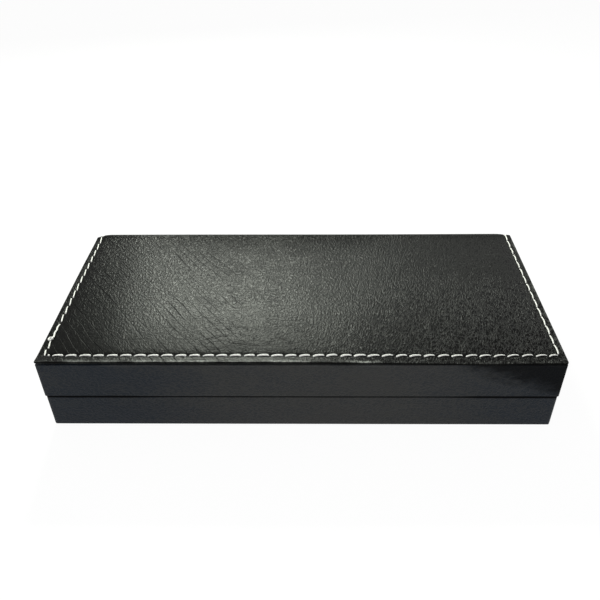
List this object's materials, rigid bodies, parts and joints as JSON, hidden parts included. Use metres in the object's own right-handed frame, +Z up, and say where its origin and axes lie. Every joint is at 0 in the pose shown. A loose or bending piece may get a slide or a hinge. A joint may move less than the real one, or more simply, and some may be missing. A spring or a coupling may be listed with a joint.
{
  "type": "drafting instrument case",
  "caption": "Shallow hinged box with a deeper stitched-cover lid, bevelled back edges, a collar and a tray cut for drafting instruments.",
  "frame": {"origin": "middle of the underside", "axes": "+X to the right along the case's width, -Y out of the front, +Y towards the hinges, +Z up"},
  "size_m": [0.18, 0.082, 0.031],
  "materials": {
    "leatherette": "fine pebble grain, low satin",
    "cover_leatherette": "coarse pebble grain, satin",
    "thread": "matt twisted thread",
    "board": "plain greyboard",
    "card": "plain card",
    "underlay": "thin foam sheet",
    "flock": "short flock",
    "lining": "velvet",
    "satin": "satin over wadding",
    "felt": "thin felt",
    "nickel": "nickel plated"
  },
  "bodies": {
    "base": {"base_felt": "felt", "base_filler_card": "card", "base_bottom_board": "board", "base_front_wall": "board", "base_back_wall": "board", "base_left_wall": "board", "base_right_wall": "board", "base_side_wrap": "leatherette", "collar_front": "lining", "collar_back": "lining", "collar_left": "lining", "collar_right": "lining", "tray_floor_sheet": "flock", "instrument_tray": "flock", "base_magnet_left": "nickel", "base_magnet_right": "nickel", "hinge_left_base_leaf": "nickel", "hinge_right_base_leaf": "nickel", "hinge_left_pin": "nickel", "hinge_right_pin": "nickel", "hinge_screws_base": "nickel"},
    "lid": {"hinge_screws_lid": "nickel", "hinge_left_lid_leaf": "nickel", "hinge_right_lid_leaf": "nickel", "lid_magnet_left": "nickel", "lid_magnet_right": "nickel", "lid_front_wall": "board", "lid_back_wall": "board", "lid_left_wall": "board", "lid_right_wall": "board", "lid_side_wrap": "leatherette", "lid_top_board": "board", "lid_filler_card": "card", "cover_underlay": "underlay", "stitched_cover": "cover_leatherette", "cover_stitching": "thread", "lid_liner_front": "lining", "lid_liner_back": "lining", "lid_liner_left": "lining", "lid_liner_right": "lining", "lid_pad_card": "card", "lid_pad": "satin"}
  },
  "joints": [
    {"name": "lid_hinge", "type": "hinge", "parent": "base", "child": "lid", "pos_m": [0, 0.0394, 0.0145], "axis": [-1, 0, 0], "range_deg": [0, 98]}
  ]
}
